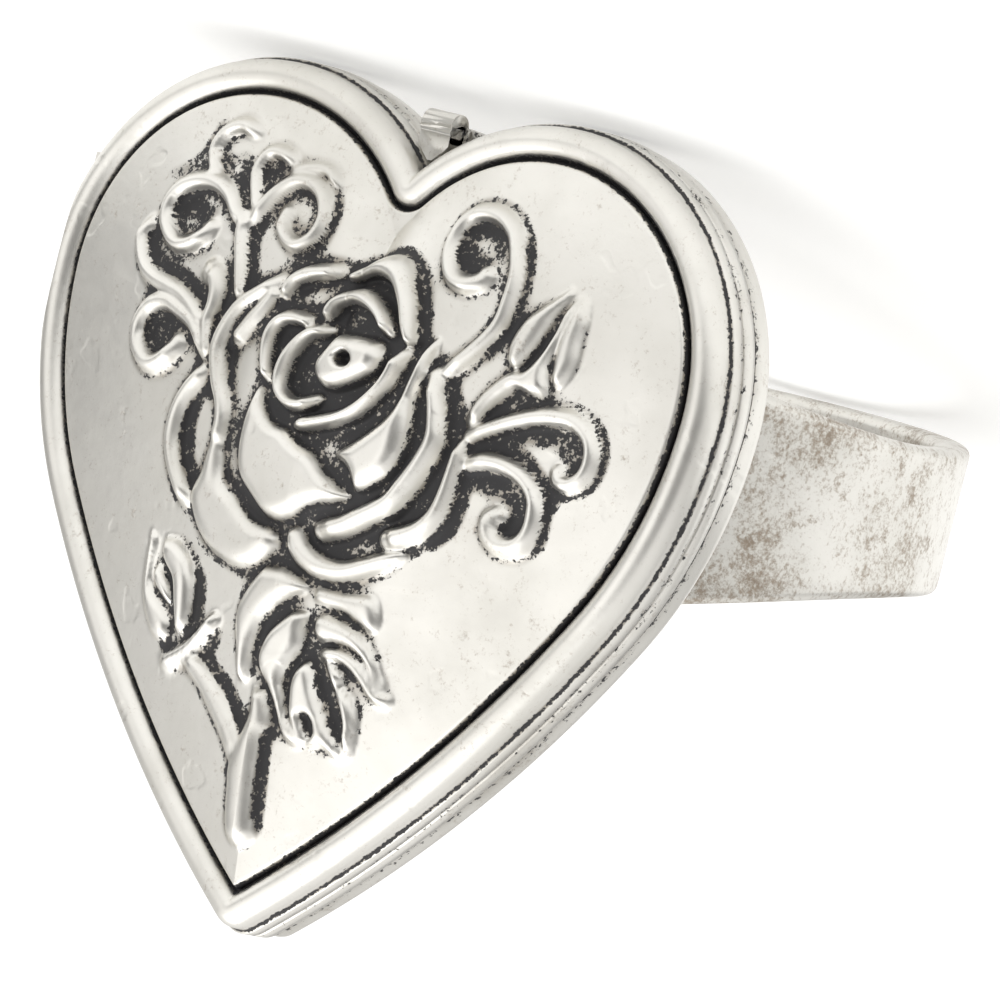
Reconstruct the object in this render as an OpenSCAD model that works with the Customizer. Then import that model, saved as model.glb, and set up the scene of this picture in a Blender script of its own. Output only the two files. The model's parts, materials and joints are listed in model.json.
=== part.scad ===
// Heart locket ring, also known as a poison ring: a domed lid hinged to a shallow tray that is soldered
// to a plain tapering band. Millimetres.
//
// The pieces are drawn in the heart's own frame: +X to the right, +Y up the heart towards its cleft, +Z out
// of its face, with z = 0 at the seam and y = 0 at the height of the lobes' centres. lay_down() then rests
// the whole ring on its side, on both lobes and the band's edge: +Z up, the footprint's middle at the origin.

/* [Heart] */
// Radius of each lobe at the rim
lobe_r = 7.18; // [6.8:0.02:7.6]
// Distance from the middle line to each lobe's centre
lobe_x = 5.18; // [4.9:0.02:5.5]
// Radius of the shoulder under each lobe
shoulder_r = 12.9; // [12:0.1:14]
// Radius of the long side that runs down to the point
side_r = 42.2; // [38:0.2:48]
// Angle below the horizontal where the lobe turns into the shoulder
lobe_turn = 2; // [0:0.5:6]
// Angle below the horizontal where the shoulder turns into the long side
shoulder_turn = 33; // [31:0.5:35]
// Rounding of the point, at the rim
tip_r = 0.9; // [0.4:0.05:1.4]

/* [Lid] */
// Height of the lid's straight skirt above the seam
skirt_h = 0.5; // [0.4:0.05:0.6]
// Height of the raised rim above the seam
rim_h = 1.4; // [1.2:0.05:1.6]
// Width of the rim, from the skirt to the middle of the dark groove
rim_w = 1.1; // [0.9:0.05:1.4]
// Rise of the dome above the groove
dome_h = 1.35; // [1:0.05:1.8]
// Distance of the dome's crown below the lobes' centres
crown_drop = 2.7; // [2:0.1:4]
// Thickness of the stamped sheet
sheet = 0.6; // [0.5:0.05:0.7]

/* [Relief] */
// Height of the rose spray, from the stem's foot to its top scroll
spray_h = 20; // [18:0.5:20.5]
// Height of the finest lines of the relief above the dome
line_h = 0.35; // [0.2:0.05:0.6]

/* [Tray] */
// Height of the tray's upper strip, from the seam to the dark step
strip_h = 0.5; // [0.4:0.05:0.6]
// Depth of the tray, from the seam to its flat back
tray_d = 1.65; // [1.5:0.05:2.2]
// Rounding of the tray's back edge
back_r = 0.45; // [0.3:0.05:0.6]
// Thickness of the tray's plate
plate = 0.5; // [0.4:0.05:0.8]
// Height of the closing lip above the seam
lip_h = 0.38; // [0.2:0.02:0.45]
// Thickness of the closing lip
lip_t = 0.4; // [0.3:0.05:0.5]

/* [Band] */
// Inside diameter, where the finger goes
finger_d = 18.2; // [15:0.1:21]
// Thickness of the band
band_t = 1; // [0.8:0.05:1.4]
// Width of the band at its back
band_w = 4.4; // [3.5:0.1:6]
// Radius of the curve by which the band widens towards the tray
flare_r = 39; // [34:1:60]
// Distance below the finger's centre where the band starts to widen
flare_drop = 3.3; // [2:0.1:5]
// Slant of the band against the tray
slant = 3.9; // [0:0.1:6]
// Distance of the band's middle below the lobes' centres
band_drop = 1.67; // [1:0.05:4]
// Depth to which the band is let into the tray's back and soldered
let_in = 0.4; // [0.3:0.05:0.45]

/* [Hinge] */
// Length of the whole hinge
hinge_len = 5.6; // [4.5:0.1:6]
// Length of the lid's knuckle
lid_knuckle = 3.4; // [2.6:0.1:3.6]
// Radius of the knuckles
barrel_r = 0.5; // [0.48:0.01:0.55]
// Diameter of the pin
pin_d = 0.56; // [0.4:0.02:0.6]

/* [Loop in the cleft] */
// Width of the rolled loop
loop_w = 1.1; // [0.8:0.05:1.2]
// Radius of the roll
loop_r = 0.42; // [0.35:0.01:0.45]
// Height of the roll's top above the lobes' centres
loop_top = 6.7; // [6.5:0.05:7.2]

/* [Fits] */
// Gap between lid and tray at the seam
seam_gap = 0.06; // [0.04:0.01:0.1]
// Gap between the closing lip and the lid's wall
lip_gap = 0.05; // [0.04:0.01:0.1]
// Gap between two knuckles
knuckle_gap = 0.1; // [0.06:0.01:0.2]
// Gap round the pin
pin_gap = 0.03; // [0.02:0.01:0.05]
// Gap round a knuckle where the other half makes room for it
barrel_gap = 0.12; // [0.08:0.01:0.15]

/* [Hidden] */
silver = "#c9c6be";
steel = "#8f8f8c";
eps = 0.01;

seam = seam_gap / 2;
lobe_c = [lobe_x, 0];
shoulder_c = lobe_c - (shoulder_r - lobe_r) * dir(-lobe_turn);
side_c = shoulder_c - (side_r - shoulder_r) * dir(-shoulder_turn);
crown = [0, -crown_drop];
// Inner edge of the groove, where the dome starts, and the dome's height there
rim_inner = -1.15 * rim_w;
FOOT_DROP = 0.12;
dome_foot = rim_h - FOOT_DROP;
dome_rise = dome_h - 0.1;

// Steps along each part of half the outline: point, long side, shoulder, lobe, cleft
TIP_N = 2;
SIDE_N = 7;
SHOULDER_N = 6;
LOBE_N = 16;
CLEFT_N = 3;
// Smallest rounding of a sharp corner
SHARP = 0.08;
// The cleft is sharp at this distance inside the rim, and rounder further in
CLEFT_START = 0.3;

function dir(a) = [cos(a), sin(a)];
function arc(c, r, from, to, n) = [for (i = [0:n - 1]) c + r * dir(from + (to - from) * i / n)];

// Right half of the heart, from its point up to its cleft, `off` outside the rim line
function half_heart(off) =
    let (tip = max(tip_r + off, SHARP),
         tip_y = side_c.y - sqrt((side_r + off - tip)^2 - side_c.x^2),
         tip_a = atan2(tip_y - side_c.y, -side_c.x),
         cleft = max(-CLEFT_START - off, SHARP),
         cleft_y = sqrt((lobe_r + off + cleft)^2 - lobe_x^2),
         cleft_a = atan2(cleft_y, -lobe_x))
    [each arc([0, tip_y], tip, -90, tip_a, TIP_N),
     each arc(side_c, side_r + off, tip_a, -shoulder_turn, SIDE_N),
     each arc(shoulder_c, shoulder_r + off, -shoulder_turn, -lobe_turn, SHOULDER_N),
     each arc(lobe_c, lobe_r + off, -lobe_turn, cleft_a, LOBE_N),
     each arc([0, cleft_y], cleft, cleft_a - 180, -90, CLEFT_N),
     [0, cleft_y - cleft]];

function both_halves(half) = [each half, each [for (i = [len(half) - 2:-1:1]) [-half[i].x, half[i].y]]];
function heart(off) = both_halves(half_heart(off));

function ring(off, z) = [for (p = heart(off)) [p.x, p.y, z]];

// Distance from the crown to the groove's inner edge in direction a, on the right half
function to_circle(c, r, a) =
    let (v = c - crown, along = v * dir(a))
    along + sqrt(max(0, along^2 - v * v + r^2));
function angle_of(p) = atan2(p.y - crown.y, p.x - crown.x);
function to_groove(a) =
    a < angle_of(side_c + (side_r + rim_inner) * dir(-shoulder_turn))
        ? to_circle(side_c, side_r + rim_inner, a)
    : a < angle_of(shoulder_c + (shoulder_r + rim_inner) * dir(-lobe_turn))
        ? to_circle(shoulder_c, shoulder_r + rim_inner, a)
    : to_circle(lobe_c, lobe_r + rim_inner, a);

// Height of the dome's outer surface above the seam at p
function dome(p) =
    let (q = [abs(p.x), p.y], away = norm(q - crown))
    dome_foot + dome_rise * (1 - min(1, away / to_groove(angle_of(q)))^2);

// Ring at a share of the way from the crown to the groove; its points spread evenly towards the crown
function dome_ring(share, drop) =
    let (edge = half_heart(rim_inner),
         last = len(edge) - 1,
         half = [for (i = [0:last])
             let (a = share * angle_of(edge[i]) + (1 - share) * (180 * i / last - 90))
             crown + share * to_groove(a) * dir(a)])
    [for (p = both_halves(half)) [p.x, p.y, dome(p) - drop]];

// Closed skin through rings of as many points each, from the middle of its under side to that of its top
module loft(under, rings, top) {
    n = len(rings[0]);
    last = len(rings) - 1;
    polyhedron(
        points = [under, each [for (r = rings) each r], top],
        faces = [
            each [for (i = [0:n - 1]) [0, 1 + i, 1 + (i + 1) % n]],
            each [for (j = [0:last - 1], i = [0:n - 1])
                let (a = 1 + j * n + i, b = 1 + j * n + (i + 1) % n)
                each [[a, a + n, b + n], [a, b + n, b]]],
            each [for (i = [0:n - 1]) let (a = 1 + last * n) [a + n, a + (i + 1) % n, a + i]]
        ]);
}

// The lid's stamped sheet.
// RIM: its outer side, as [share of rim_w inwards, share of rim_h up]
RIM = [[0.09, 0.39], [0.09, 0.53], [0.18, 0.75], [0.38, 0.94], [0.59, 1], [0.77, 0.97],
       [0.88, 0.88], [0.96, 0.77], [1.04, 0.77], [1.12, 0.88]];
// DOME: where its rings lie, as shares of the way from the crown to the groove
DOME = [0.9, 0.65, 0.35];
UNDER = [0.25, 0.5, 0.75, 0.93];
// Depth of the sheet's bend under the groove, below the rim's own under side
UNDER_DROP = 0.15;

module lid_sheet() {
    loft([crown.x, crown.y, dome(crown) - sheet],
         [each [for (share = UNDER) dome_ring(share, sheet)],
          ring(-rim_w, rim_h - sheet - UNDER_DROP),
          ring(-sheet, skirt_h),
          ring(-sheet, seam),
          ring(0, seam),
          ring(0, skirt_h),
          each [for (r = RIM) ring(-r[0] * rim_w, r[1] * rim_h)],
          dome_ring(1, 0),
          each [for (share = DOME) dome_ring(share, 0)]],
         [crown.x, crown.y, dome(crown)]);
}

// The relief. Its tables hold hundredths of spray_h, from the middle line and the lobes' centres.
// SCROLLS: [centre x, y, first radius, last radius, first angle, last angle, first width, last width, height]
SCROLLS = [
    [-34.5, 11, 5, 4.2, 70, 335, 3, 2.5, 2.4],
    [-31, 21.5, 4.3, 3.6, 240, 45, 2.2, 2, 2],
    [-22, 19.2, 4.4, 3, 265, 45, 2.2, 2, 2],
    [-15, 13.8, 7, 2.5, 187, -186, 2.5, 2.2, 2.4],
    [-34.5, -7.2, 4.9, 3.7, 55, 350, 3.2, 2.7, 2.4],
    [17.8, 15.5, 6, 4.6, 30, 305, 2.6, 2.3, 2.4],
    [41.5, -9.2, 4.4, 4.4, 100, -115, 2.6, 2.3, 2.4],
    [34, -20, 5.8, 3, 80, -165, 3, 2.4, 2.6],
    [1.6, -4.4, 3.6, 3.6, 0, 345, 3.4, 3.4, 4.8],
    [-3.8, -7, 5.2, 4.5, 70, 300, 2.4, 2.2, 4.4],
    [-7.5, -5, 5, 5.2, 90, 235, 2.2, 2.2, 3.8],
    [1.5, 0, 5.3, 5.5, 168, 20, 2.4, 2.2, 4.2]
];
// STROKES: [points that the line passes through, width at each point, height]
STROKES = [
    // Left trunks and branches
    [[[-20.5, 0.5], [-22.3, 5.5], [-23.8, 11.5]], [2.4, 2.8, 2.8], 2],
    [[[-23.5, 10], [-28.3, 14.3], [-33.5, 15.8]], [2.6, 3, 3], 2.2],
    [[[-23.8, -8.8], [-25.6, -3.7], [-25.6, 1.1], [-26.3, 2.9], [-28, 3.8]], [2.6, 2.8, 2.6, 2.6, 2], 2],
    [[[-26.5, -4.3], [-32, -1], [-37.5, 0.1], [-41.8, 2.6], [-42.8, 7.5]], [2.6, 3, 3, 2.8, 2], 2.2],
    [[[-25, -7.9], [-28, -4.8], [-32, -3.2]], [2.6, 3, 3.2], 2.3],
    // Right stems
    [[[18.2, -3.2], [23.5, 3], [25.4, 9.5], [25, 14.5], [22.8, 18.7]], [2.4, 2.6, 2.6, 2.6, 2.6], 2.2],
    [[[26, -9.7], [33.2, -6], [41, -4.8]], [2.4, 2.6, 2.6], 2.2],
    [[[26.6, -13.5], [31, -12.5], [35.2, -14.1]], [2.6, 2.9, 3], 2.4],
    // Right bud
    [[[30.5, -0.8], [27.5, -3.8], [25.1, -8.1]], [2.6, 2.8, 2.6], 2],
    [[[37, -1], [38.8, 6], [37.6, 13]], [1.8, 1.9, 0.9], 2.6],
    [[[32.8, 2.2], [34.5, 6.5], [35.8, 11]], [1.2, 1.4, 0.8], 3],
    [[[28.6, 1.5], [29.5, 6.8], [34.8, 13]], [1.4, 1.8, 0.9], 2.6],
    // Rose, from its heart outwards
    [[[10.2, -1.8], [7, -9.3], [-2.5, -14.5]], [2.2, 2.4, 2], 4.4],
    [[[-12.8, 2.3], [-10.5, 6], [-5, 7.1]], [2, 2.3, 2], 3],
    [[[-3.3, 7.8], [1.5, 10.5], [5.5, 10], [8.6, 5.8], [11.3, -0.1]], [2, 3.4, 3.2, 2.8, 1.8], 3.1],
    [[[14.6, 2.2], [12.4, -7.5], [3, -17.1]], [1.8, 2.2, 2], 3.8],
    [[[-10.5, -14], [-1.5, -17.8], [5.5, -22.3]], [1.8, 2.2, 2], 4],
    [[[-13.2, -11], [-14.2, -19], [-11.3, -25.5], [-4.8, -29.2], [0.4, -26.5], [4.5, -25.5], [7.7, -23.5]],
     [2, 2.4, 2.6, 2.8, 2.4, 2.2, 2], 3.3],
    [[[16.1, -2.5], [18.8, -8.2], [19.5, -13], [15, -20.5], [4, -28.5]], [2, 2.6, 3, 3, 2.6], 2.8],
    [[[24.5, -11.3], [23.8, -17], [23, -22.5], [20.5, -25.8], [15.8, -28]], [2, 2.4, 2.6, 2.8, 2], 2],
    [[[-14, 4.1], [-19.5, -1.2], [-21.6, -8], [-20.2, -12.8], [-18.7, -17.5], [-19.5, -22.5], [-20, -28],
      [-16, -31.8], [-9.2, -32], [-6.2, -31.6], [-3.5, -30.3]],
     [2.2, 2.6, 2.8, 2.8, 2.6, 2.6, 3, 5, 6, 4.5, 2.4], 2.4],
    [[[-23.5, -11], [-26.3, -15.5], [-27, -21], [-25.5, -25.2], [-22, -28.2]], [2, 2.3, 2.3, 2.3, 1.8], 1.8],
    [[[-0.8, -29.8], [1, -33], [6, -33.8], [12.5, -32.2], [18.4, -29.2]], [2.4, 3.4, 3.6, 3.4, 2], 2.2],
    // Left bud
    [[[-23.4, -36], [-19.5, -42], [-19.3, -48.4]], [2.4, 3.6, 2.4], 2.6],
    [[[-26.2, -35], [-24.8, -41.5], [-20.8, -48]], [1.6, 2.4, 1.6], 2],
    [[[-16.5, -39], [-14.8, -43.5], [-15.8, -48]], [1.4, 1.8, 1.4], 2],
    [[[-12.7, -45], [-14.8, -48.8], [-20.4, -52.8]], [1.6, 2.2, 1.8], 2.1],
    [[[-28, -36.2], [-27.5, -44], [-23, -49.8]], [1.2, 1.6, 1.2], 1.2],
    [[[-17.8, -52.5], [-9.8, -56.5], [-3.2, -63.5]], [2.8, 3.2, 3], 1.8],
    // Main stem
    [[[-0.6, -53.5], [-1.7, -65], [-0.5, -75]], [3.8, 5.2, 4], 2],
    // Leaves
    [[[1.5, -37.5], [-4.8, -43.5], [-4.8, -52]], [3, 4.4, 2.4], 2],
    [[[4.2, -40.3], [-2.2, -47], [0.5, -52.5], [3.5, -57.5], [9, -58.5]], [2, 2.4, 2, 2.2, 1.8], 1.9],
    [[[5.2, -45.5], [3.5, -50.5], [3.8, -54.5]], [1.4, 1.8, 1.4], 2.2],
    [[[6.4, -47.2], [6, -52], [6.4, -57]], [1.4, 1.8, 1.6], 2.3],
    [[[7.8, -47], [10.5, -53.5], [12.2, -59.3]], [1.6, 2.2, 1.8], 2.2],
    [[[9.6, -45.4], [13.5, -51], [14.5, -58.5]], [1.8, 2.3, 1.8], 2],
    [[[6.5, -42], [13, -43], [18, -47.5]], [2.4, 3, 2.2], 2.4],
    [[[9.8, -46.4], [14.5, -47.2], [19, -49.8]], [1.6, 2, 1.4], 2.1]
];
// PADS: the full bodies of petals, [one end x, y, radius, other end x, y, radius, height]
PADS = [
    [1.6, -4.4, 3.4, 1.8, -4.6, 3.2, 3.2],
    [-9, -17.5, 4.5, -5, -23, 5, 3.4],
    [6, -17, 3.5, 12, -15, 4, 2.6],
    [-3, -9.5, 5, 5, -9, 4, 2.6],
    [-16, -10, 3, -14, -4, 3, 1.6],
    [-15.5, -29.5, 3, -10, -31, 3.2, 1.8],
    [4, -31, 2.6, 12.5, -29.5, 2.6, 1.6],
    [31, 2.5, 2.4, 33.5, 9.5, 1.6, 2.4],
    [34.5, -1, 2.6, 36.5, 4, 2, 2],
    [6, -38.5, 2.2, 15.5, -39, 1.4, 1],
    [2, -44, 2.6, 2, -49, 2.6, 1.4],
    [-17.5, -42, 1.8, -17.6, -48, 1.8, 1.6]
];
// Steps along a stroke, and the turn of a scroll from one step to the next
STROKE_N = 4;
SCROLL_STEP = 30;
// Shares of a stroke's width at its foot and its top, and of a pad's radius at its foot and its top
FOOT = 0.6;
CREST = 0.22;
PAD_FOOT = 1.2;
PAD_TOP = 0.55;
PAD_SIDES = 8;

unit = spray_h / 100;
// The finest lines are 1.8 hundredths high in the tables
height_unit = line_h / 1.8;

// Curve through three values a, b and c, and one through an odd number of them, three at a time
function through(a, b, c, t) = (1 - t) * (1 - 2 * t) * a + 4 * t * (1 - t) * b + t * (2 * t - 1) * c;
function curve(values) =
    [each [for (k = [0:2:len(values) - 3], i = [0:STROKE_N - 1])
         through(values[k], values[k + 1], values[k + 2], i / STROKE_N)],
     values[len(values) - 1]];
// A stroke is lower at its ends
END = 0.6;
function end_share(i, n) = i == 0 || i == n ? END : 1;

// Ridge along a path: four corners at each step, its foot buried in the sheet
module ridge(path, widths, height) {
    last = len(path) - 1;
    corners = [for (i = [0:last])
        let (ahead = path[min(i + 1, last)] - path[max(i - 1, 0)],
             side = [-ahead.y, ahead.x] / norm(ahead) * widths[i],
             p = path[i],
             foot = dome(p) - sheet / 2,
             crest = dome(p) + height * end_share(i, last))
        each [[each p + FOOT * side, foot], [each p + CREST * side, crest],
              [each p - CREST * side, crest], [each p - FOOT * side, foot]]];
    polyhedron(
        points = corners,
        faces = [
            [0, 1, 2, 3],
            each [for (i = [0:last - 1], k = [0:3])
                let (a = 4 * i + k, b = 4 * i + (k + 1) % 4)
                each [[a, a + 4, b + 4], [a, b + 4, b]]],
            [4 * last + 3, 4 * last + 2, 4 * last + 1, 4 * last]
        ]);
}

module scroll(row) {
    n = ceil(abs(row[5] - row[4]) / SCROLL_STEP);
    shares = [for (i = [0:n]) i / n];
    ridge(
        [for (t = shares)
            let (r = row[2] + (row[3] - row[2]) * t, a = row[4] + (row[5] - row[4]) * t)
            unit * ([row[0], row[1]] + r * dir(a))],
        [for (t = shares) unit * (row[6] + (row[7] - row[6]) * t)],
        height_unit * row[8]);
}

module stroke(row) {
    ridge(unit * curve(row[0]), unit * curve(row[1]), height_unit * row[2]);
}

module pad(row) {
    rise = height_unit * row[6];
    hull()
        for (end = [0, 3]) {
            p = unit * [row[end], row[end + 1]];
            r = unit * row[end + 2];
            translate([p.x, p.y, dome(p) - sheet / 2])
                cylinder(h = rise + sheet / 2, r1 = PAD_FOOT * r, r2 = PAD_TOP * r, $fn = PAD_SIDES);
        }
}

module relief() {
    for (row = SCROLLS) scroll(row);
    for (row = STROKES) stroke(row);
    for (row = PADS) pad(row);
}

// The hinge, on the heart's left side, level with the seam and flush with the widest line
hinge_x = -(lobe_x + lobe_r) + barrel_r;
hinge_y = -0.08;
tray_knuckle = (hinge_len - lid_knuckle) / 2 - knuckle_gap;
tray_knuckle_y = (hinge_len - tray_knuckle) / 2;
room_r = barrel_r + barrel_gap;
// Both halves end at this plane beside the hinge, so that they pass each other as the lid turns
hinge_face = hinge_x + barrel_r / 10;
// Solid strip behind the hinge in each half
backing_w = 1.7 * barrel_r;
backing_len = hinge_len + 1.8 * barrel_r;
ROD_SIDES = 40;

module along_y(r, length, y) {
    translate([hinge_x, hinge_y + y, 0])
        rotate([90, 0, 0])
            cylinder(h = length, r = r, center = true, $fn = ROD_SIDES);
}

module pin_bore() {
    along_y(pin_d / 2 + pin_gap, hinge_len + 2 * knuckle_gap, 0);
}

module backing(bottom, top) {
    translate([hinge_face, hinge_y - backing_len / 2, bottom])
        cube([backing_w, backing_len, top - bottom]);
}

module web(length, y, bottom, top) {
    translate([hinge_x, hinge_y + y - length / 2, bottom])
        cube([backing_w / 2, length, top - bottom]);
}

module beside_hinge() {
    translate([hinge_face - lobe_r, hinge_y - lobe_r, -2 * tray_d])
        cube([lobe_r, 2 * lobe_r, 4 * tray_d]);
}

module lid() {
    color(silver) lay_down()
        difference() {
            union() {
                difference() {
                    union() {
                        lid_sheet();
                        relief();
                        backing(seam, rim_h - sheet);
                    }
                    beside_hinge();
                    for (side = [-1, 1])
                        along_y(room_r, tray_knuckle + 2 * knuckle_gap, side * tray_knuckle_y);
                }
                along_y(barrel_r, lid_knuckle, 0);
                web(lid_knuckle, 0, seam, barrel_r);
            }
            pin_bore();
        }
}

// The tray, with the closing lip inside its mouth. STEP_D is the depth of the dark step round its side, and
// STEP is where its upper edge, its bottom and its lower edge lie below the strip
STEP_D = 0.1;
STEP = [0.08, 0.13, 0.18];
BACK_TURN = [90, 60, 30, 0];
LIP_SHOULDER = 0.7;
lip_out = -sheet - lip_gap;
lip_in = lip_out - lip_t;

function back_edge(a) = ring(-STEP_D - back_r * (1 - cos(a)), -tray_d + back_r * (1 - sin(a)));

module tray_shell() {
    loft([crown.x, crown.y, -tray_d],
         [each [for (a = BACK_TURN) back_edge(a)],
          ring(-STEP_D, -strip_h - STEP[2]),
          ring(-2 * STEP_D, -strip_h - STEP[1]),
          ring(-STEP_D, -strip_h - STEP[0]),
          ring(0, -strip_h),
          ring(0, -seam),
          ring(lip_out, -seam),
          ring(lip_out, lip_h * LIP_SHOULDER),
          ring((lip_out + lip_in) / 2, lip_h),
          ring(lip_in, lip_h * LIP_SHOULDER),
          ring(lip_in, plate - tray_d)],
         [crown.x, crown.y, plate - tray_d]);
}

// The lip ends short of the hinge
LIP_CLEAR = 0.4;
module lip_cut() {
    translate([hinge_face - lobe_r, hinge_y - backing_len / 2 - LIP_CLEAR, -seam])
        cube([lobe_r + backing_w + LIP_CLEAR / 2, backing_len + 2 * LIP_CLEAR, 2 * sheet + lip_h]);
}

// Loop at the cleft: a tongue from the tray's wall, rolled over at its end, with a fillet to the right lobe
loop_z = 0.3;
loop_y = loop_top - loop_r;
loop_root = 0.6 * loop_y;
TONGUE_D = 1;
FILLET_H = 0.7;

module cleft_loop() {
    translate([-loop_w / 2, loop_root, -TONGUE_D])
        cube([loop_w, loop_y - loop_root, TONGUE_D - 2 * seam]);
    translate([-loop_w / 2, loop_y - loop_r, -TONGUE_D])
        cube([loop_w, 2 * loop_r, TONGUE_D + loop_z]);
    translate([0, loop_y, loop_z])
        rotate([0, 90, 0])
            cylinder(h = loop_w, r = loop_r, center = true, $fn = ROD_SIDES);
    translate([0, 0, -TONGUE_D])
        linear_extrude(height = FILLET_H)
            polygon([[0, loop_root], [loop_w, loop_root + 1.4 * loop_r], [2 * loop_w, loop_y - 1.2 * loop_r],
                     [1.9 * loop_w, loop_y + loop_r / 2], [loop_w, loop_y], [0, loop_y + loop_r / 4]]);
}

// The band: a tube across the finger's axis, cut to the outline that shows from the side
finger_r = finger_d / 2;
band_r = finger_r + band_t;
finger_z = -tray_d + let_in - band_r;
FLARE_N = 8;
TUBE_SIDES = 120;

function half_width(z) = band_w / 2 + (z > -flare_drop ? flare_r - sqrt(flare_r^2 - (z + flare_drop)^2) : 0);
band_levels = [-band_r - 1, each [for (i = [0:FLARE_N]) -flare_drop + (band_r + flare_drop) * i / FLARE_N]];
function middle(z) = -band_drop - z * tan(slant);

module band() {
    last = len(band_levels) - 1;
    translate([0, 0, finger_z])
        intersection() {
            translate([0, -band_drop, 0])
                rotate([90, 0, 0])
                    difference() {
                        cylinder(h = 4 * band_w, r = band_r, center = true, $fn = TUBE_SIDES);
                        cylinder(h = 4 * band_w + 2, r = finger_r, center = true, $fn = TUBE_SIDES);
                    }
            rotate([90, 0, 90])
                linear_extrude(height = 3 * band_r, center = true)
                    polygon([for (side = [-1, 1], i = side < 0 ? [0:last] : [last:-1:0])
                        let (z = band_levels[i]) [middle(z) + side * half_width(z), z]]);
        }
}

module ring_body() {
    color(silver) lay_down() {
        difference() {
            union() {
                difference() {
                    union() {
                        difference() {
                            tray_shell();
                            lip_cut();
                        }
                        backing(plate - tray_d - eps, -seam);
                    }
                    beside_hinge();
                    along_y(room_r, lid_knuckle + 2 * knuckle_gap, 0);
                }
                for (side = [-1, 1]) {
                    along_y(barrel_r, tray_knuckle, side * tray_knuckle_y);
                    web(tray_knuckle, side * tray_knuckle_y, -barrel_r, -seam);
                }
            }
            pin_bore();
        }
        cleft_loop();
        band();
    }
}

module hinge_pin() {
    color(steel) lay_down() along_y(pin_d / 2, hinge_len, 0);
}

// Rest pose: the ring lies cleft down on the back edge of both lobes and on the band's far edge. Seen from
// the side, the floor is the line that touches the lobes' rounding and the band's corner, rest_tilt off the
// plane of the finger's axis.
round_c = [lobe_r - STEP_D - back_r, -tray_d + back_r];
band_corner = [middle(-band_r) + half_width(-band_r), finger_z - band_r];
fall = round_c - band_corner;
rest_tilt = atan2(fall.x, fall.y) + asin(back_r / norm(fall));
floor_drop = round_c * [cos(rest_tilt), -sin(rest_tilt)] + back_r;
// Foremost and hindmost points of the ring in this pose: the rim over the lobes or a scroll's crest, and the
// band's other edge
function forward(y, z) = y * sin(rest_tilt) + z * cos(rest_tilt);
rim_front = max([for (r = RIM) forward(lobe_r - r[0] * rim_w, r[1] * rim_h)]);
scroll_front = max([for (row = SCROLLS)
    let (p = unit * [row[0], row[1] + row[2]]) forward(p.y, dome(p) + height_unit * row[8])]);
band_rear = min([for (a = [-90:3:0])
    let (z = band_r * sin(a)) forward(middle(z) - half_width(z), finger_z + z)]);

module lay_down() {
    translate([0, (max(rim_front, scroll_front) + band_rear) / 2, floor_drop])
        rotate([rest_tilt - 90, 0, 180])
            children();
}

ring_body();
lid();
hinge_pin();
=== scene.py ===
# Heart locket ring, also known as a poison ring, as it lies on its side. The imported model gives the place.
import json
from math import atan2, cos, degrees, pi, radians, sin, sqrt, tan

import bmesh
import bpy
import numpy as np
from mathutils import Matrix, Vector


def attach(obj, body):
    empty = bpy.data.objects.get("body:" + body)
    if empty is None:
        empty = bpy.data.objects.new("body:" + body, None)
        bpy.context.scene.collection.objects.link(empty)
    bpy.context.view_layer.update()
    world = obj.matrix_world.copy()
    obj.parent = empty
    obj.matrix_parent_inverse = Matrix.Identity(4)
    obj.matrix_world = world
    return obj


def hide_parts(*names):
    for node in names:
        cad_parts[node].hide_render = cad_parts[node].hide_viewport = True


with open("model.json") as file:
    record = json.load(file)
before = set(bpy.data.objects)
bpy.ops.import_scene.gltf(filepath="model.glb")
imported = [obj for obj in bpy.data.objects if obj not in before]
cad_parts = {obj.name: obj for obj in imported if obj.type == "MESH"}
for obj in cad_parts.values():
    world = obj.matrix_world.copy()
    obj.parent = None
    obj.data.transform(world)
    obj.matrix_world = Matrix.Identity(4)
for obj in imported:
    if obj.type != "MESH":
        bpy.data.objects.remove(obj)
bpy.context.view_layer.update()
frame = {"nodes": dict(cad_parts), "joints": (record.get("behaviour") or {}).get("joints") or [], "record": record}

# The band: a strip of sheet metal bent round the finger and soldered to the tray's back, where it is wider.
# Its edges are tumbled round. The silver plate has warmed and speckled to brown where the finger rubs.
#
# Shapes are drawn in the heart's own frame, in millimetres: x to the right, y up to the cleft, z out of its
# face, with the seam at z = 0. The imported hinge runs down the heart's left side, so `lie` lays a shape down
# from its place and direction, in metres.
HINGE_X, HINGE_Y = -11.86, -0.08
hinge = frame["joints"][0]
heart_up = -Vector(hinge["axis"])
heart_right = Vector((-1, 0, 0))
turn = Matrix((heart_right, heart_up, heart_right.cross(heart_up))).transposed()
lie = (Matrix.Translation(Vector(hinge["pos_m"])) @ turn.to_4x4() @ Matrix.Scale(0.001, 4)
       @ Matrix.Translation((-HINGE_X, -HINGE_Y, 0)))

finger_r = frame["record"]["mounts"][0]["dims"]["r_mm"]
tray_depth, let_in = 1.65, 0.4
band_t, band_w, band_edge = 1.0, 4.4, 0.3
# The band's middle lies this far from the heart's, and it leans towards the cleft as it goes back. Its edges
# flare along an arc towards the tray, starting this far behind the finger bore's middle.
band_y, lean = -1.67, tan(radians(3.9))
flare_r, flare_drop = 39.0, 3.3
finger_z = -tray_depth + let_in - finger_r - band_t


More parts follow.
